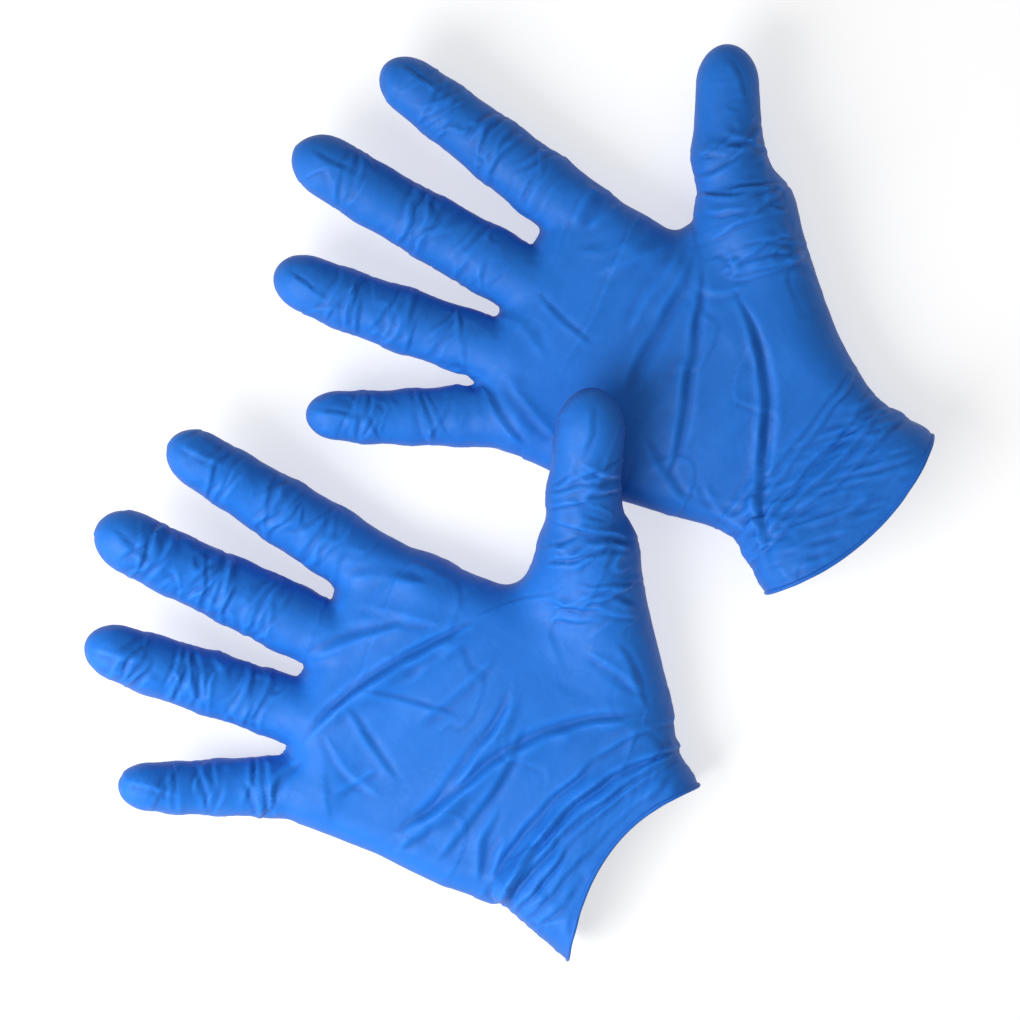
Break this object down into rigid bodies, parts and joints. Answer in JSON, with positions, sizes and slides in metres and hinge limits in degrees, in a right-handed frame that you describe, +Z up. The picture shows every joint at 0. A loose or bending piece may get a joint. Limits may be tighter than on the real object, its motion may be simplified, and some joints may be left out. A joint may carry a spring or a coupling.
{
  "type": "rubber gloves",
  "caption": "Pair of thin disposable rubber gloves with bending fingers, thumbs and flared beaded cuffs, laid palm up, one thumb over the other glove.",
  "frame": {"origin": "centre of the pair's box, on the plane the gloves rest on", "axes": "+Z up off the resting plane, fingers point along -X, cuffs along +X, thumbs towards +Y"},
  "size_m": [0.2502, 0.3461, 0.055],
  "materials": {
    "film": "matte satin film",
    "bead": "matte satin, thicker"
  },
  "bodies": {
    "upper_palm": {"upper_palm": "film"},
    "upper_cuff": {"upper_cuff": "film", "upper_cuff_bead": "bead"},
    "upper_index_base": {"upper_index_base": "film"},
    "upper_index_middle": {"upper_index_middle": "film"},
    "upper_index_tip": {"upper_index_tip": "film"},
    "upper_middle_base": {"upper_middle_base": "film"},
    "upper_middle_middle": {"upper_middle_middle": "film"},
    "upper_middle_tip": {"upper_middle_tip": "film"},
    "upper_ring_base": {"upper_ring_base": "film"},
    "upper_ring_middle": {"upper_ring_middle": "film"},
    "upper_ring_tip": {"upper_ring_tip": "film"},
    "upper_little_base": {"upper_little_base": "film"},
    "upper_little_middle": {"upper_little_middle": "film"},
    "upper_little_tip": {"upper_little_tip": "film"},
    "upper_thumb_base": {"upper_thumb_base": "film"},
    "upper_thumb_tip": {"upper_thumb_tip": "film"},
    "lower_palm": {"lower_palm": "film"},
    "lower_cuff": {"lower_cuff": "film", "lower_cuff_bead": "bead"},
    "lower_index_base": {"lower_index_base": "film"},
    "lower_index_middle": {"lower_index_middle": "film"},
    "lower_index_tip": {"lower_index_tip": "film"},
    "lower_middle_base": {"lower_middle_base": "film"},
    "lower_middle_middle": {"lower_middle_middle": "film"},
    "lower_middle_tip": {"lower_middle_tip": "film"},
    "lower_ring_base": {"lower_ring_base": "film"},
    "lower_ring_middle": {"lower_ring_middle": "film"},
    "lower_ring_tip": {"lower_ring_tip": "film"},
    "lower_little_base": {"lower_little_base": "film"},
    "lower_little_middle": {"lower_little_middle": "film"},
    "lower_little_tip": {"lower_little_tip": "film"},
    "lower_thumb_base": {"lower_thumb_base": "film"},
    "lower_thumb_tip": {"lower_thumb_tip": "film"}
  },
  "joints": [
    {"name": "upper_wrist", "type": "hinge", "parent": "upper_palm", "child": "upper_cuff", "pos_m": [0.0935, 0.0584, 0.0135], "axis": [-0.2784, -0.9605, 0], "range_deg": [0, 40]},
    {"name": "upper_index_knuckle", "type": "hinge", "parent": "upper_palm", "child": "upper_index_base", "pos_m": [-0.0435, 0.0947, 0.0124], "axis": [0.0837, 0.9965, 0], "range_deg": [-4, 56]},
    {"name": "upper_index_crease", "type": "hinge", "parent": "upper_index_base", "child": "upper_index_middle", "pos_m": [-0.06358, 0.09639, 0.01381], "axis": [0.0837, 0.9965, 0], "range_deg": [-6, 64]},
    {"name": "upper_index_tip_crease", "type": "hinge", "parent": "upper_index_middle", "child": "upper_index_tip", "pos_m": [-0.08762, 0.09841, 0.01806], "axis": [0.0837, 0.9965, 0], "range_deg": [-4, 38.9]},
    {"name": "upper_middle_knuckle", "type": "hinge", "parent": "upper_palm", "child": "upper_middle_base", "pos_m": [-0.0455, 0.0614, 0.0124], "axis": [-0.0489, 0.9988, 0], "range_deg": [-4, 56]},
    {"name": "upper_middle_crease", "type": "hinge", "parent": "upper_middle_base", "child": "upper_middle_middle", "pos_m": [-0.06852, 0.06027, 0.01401], "axis": [-0.0489, 0.9988, 0], "range_deg": [-6, 64]},
    {"name": "upper_middle_tip_crease", "type": "hinge", "parent": "upper_middle_middle", "child": "upper_middle_tip", "pos_m": [-0.0935, 0.05905, 0.01842], "axis": [-0.0489, 0.9988, 0], "range_deg": [-4, 38.9]},
    {"name": "upper_ring_knuckle", "type": "hinge", "parent": "upper_palm", "child": "upper_ring_base", "pos_m": [-0.0385, 0.0319, 0.0114], "axis": [-0.2267, 0.974, 0], "range_deg": [-4, 56]},
    {"name": "upper_ring_crease", "type": "hinge", "parent": "upper_ring_base", "child": "upper_ring_middle", "pos_m": [-0.05997, 0.0269, 0.01294], "axis": [-0.2267, 0.974, 0], "range_deg": [-6, 64]},
    {"name": "upper_ring_tip_crease", "type": "hinge", "parent": "upper_ring_middle", "child": "upper_ring_tip", "pos_m": [-0.08242, 0.02168, 0.017], "axis": [-0.2267, 0.974, 0], "range_deg": [-4, 38.9]},
    {"name": "upper_little_knuckle", "type": "hinge", "parent": "upper_palm", "child": "upper_little_base", "pos_m": [-0.0248, 0.0081, 0.0107], "axis": [-0.5417, 0.8406, 0], "range_deg": [-4, 56]},
    {"name": "upper_little_crease", "type": "hinge", "parent": "upper_little_base", "child": "upper_little_middle", "pos_m": [-0.03989, -0.00163, 0.01196], "axis": [-0.5417, 0.8406, 0], "range_deg": [-6, 64]},
    {"name": "upper_little_tip_crease", "type": "hinge", "parent": "upper_little_middle", "child": "upper_little_tip", "pos_m": [-0.0533, -0.01027, 0.01477], "axis": [-0.5417, 0.8406, 0], "range_deg": [-4, 38.9]},
    {"name": "upper_thumb_knuckle", "type": "hinge", "parent": "upper_palm", "child": "upper_thumb_base", "pos_m": [0.025, 0.1237, 0.0168], "axis": [0.6494, 0.7604, 0], "range_deg": [-4, 35]},
    {"name": "upper_thumb_crease", "type": "hinge", "parent": "upper_thumb_base", "child": "upper_thumb_tip", "pos_m": [0.00758, 0.13858, 0.0188], "axis": [0.0583, -0.0648, 0.9962], "range_deg": [0, 55]},
    {"name": "lower_wrist", "type": "hinge", "parent": "lower_palm", "child": "lower_cuff", "pos_m": [0.091, -0.0921, 0.0135], "axis": [-0.2481, -0.9687, 0], "range_deg": [0, 40]},
    {"name": "lower_index_knuckle", "type": "hinge", "parent": "lower_palm", "child": "lower_index_base", "pos_m": [-0.0395, -0.0548, 0.0124], "axis": [0.0035, 1, 0], "range_deg": [-11, 49]},
    {"name": "lower_index_crease", "type": "hinge", "parent": "lower_index_base", "child": "lower_index_middle", "pos_m": [-0.05933, -0.05473, 0.01625], "axis": [0.0035, 1, 0], "range_deg": [-11, 59]},
    {"name": "lower_index_tip_crease", "type": "hinge", "parent": "lower_index_middle", "child": "lower_index_tip", "pos_m": [-0.08205, -0.05465, 0.02543], "axis": [0.0035, 1, 0], "range_deg": [-7, 35.9]},
    {"name": "lower_middle_knuckle", "type": "hinge", "parent": "lower_palm", "child": "lower_middle_base", "pos_m": [-0.0375, -0.0866, 0.0124], "axis": [-0.1045, 0.9945, 0], "range_deg": [-11, 49]},
    {"name": "lower_middle_crease", "type": "hinge", "parent": "lower_middle_base", "child": "lower_middle_middle", "pos_m": [-0.06005, -0.08897, 0.01681], "axis": [-0.1045, 0.9945, 0], "range_deg": [-11, 59]},
    {"name": "lower_middle_tip_crease", "type": "hinge", "parent": "lower_middle_middle", "child": "lower_middle_tip", "pos_m": [-0.08347, -0.09143, 0.02632], "axis": [-0.1045, 0.9945, 0], "range_deg": [-7, 35.9]},
    {"name": "lower_ring_knuckle", "type": "hinge", "parent": "lower_palm", "child": "lower_ring_base", "pos_m": [-0.0285, -0.1164, 0.0114], "axis": [-0.2284, 0.9736, 0], "range_deg": [-11, 49]},
    {"name": "lower_ring_crease", "type": "hinge", "parent": "lower_ring_base", "child": "lower_ring_middle", "pos_m": [-0.04962, -0.12135, 0.01562], "axis": [-0.2284, 0.9736, 0], "range_deg": [-11, 59]},
    {"name": "lower_ring_tip_crease", "type": "hinge", "parent": "lower_ring_middle", "child": "lower_ring_tip", "pos_m": [-0.07074, -0.12631, 0.02438], "axis": [-0.2284, 0.9736, 0], "range_deg": [-7, 35.9]},
    {"name": "lower_little_knuckle", "type": "hinge", "parent": "lower_palm", "child": "lower_little_base", "pos_m": [-0.0125, -0.1426, 0.0107], "axis": [-0.5195, 0.8545, 0], "range_deg": [-11, 49]},
    {"name": "lower_little_crease", "type": "hinge", "parent": "lower_little_base", "child": "lower_little_middle", "pos_m": [-0.0276, -0.15178, 0.01413], "axis": [-0.5195, 0.8545, 0], "range_deg": [-11, 59]},
    {"name": "lower_little_tip_crease", "type": "hinge", "parent": "lower_little_middle", "child": "lower_little_tip", "pos_m": [-0.04043, -0.15958, 0.0202], "axis": [-0.5195, 0.8545, 0], "range_deg": [-7, 35.9]},
    {"name": "lower_thumb_knuckle", "type": "hinge", "parent": "lower_palm", "child": "lower_thumb_base", "pos_m": [0.0405, -0.0093, 0.024], "axis": [0.7934, 0.6088, 0], "range_deg": [0, 35]},
    {"name": "lower_thumb_crease", "type": "hinge", "parent": "lower_thumb_base", "child": "lower_thumb_tip", "pos_m": [0.02771, 0.00737, 0.03336], "axis": [0.2245, -0.3392, 0.9135], "range_deg": [0, 55]},
    {"name": "lower_glove_lift", "type": "slide", "parent": "upper_palm", "child": "lower_palm", "axis": [0, 0, 1], "range_m": [0, 0.12]}
  ],
  "couplings": [
    {"joint": "upper_index_tip_crease", "follows": "upper_index_crease", "ratio": 0.6},
    {"joint": "upper_middle_tip_crease", "follows": "upper_middle_crease", "ratio": 0.6},
    {"joint": "upper_ring_tip_crease", "follows": "upper_ring_crease", "ratio": 0.6},
    {"joint": "upper_little_tip_crease", "follows": "upper_little_crease", "ratio": 0.6},
    {"joint": "lower_index_tip_crease", "follows": "lower_index_crease", "ratio": 0.6},
    {"joint": "lower_middle_tip_crease", "follows": "lower_middle_crease", "ratio": 0.6},
    {"joint": "lower_ring_tip_crease", "follows": "lower_ring_crease", "ratio": 0.6},
    {"joint": "lower_little_tip_crease", "follows": "lower_little_crease", "ratio": 0.6}
  ]
}
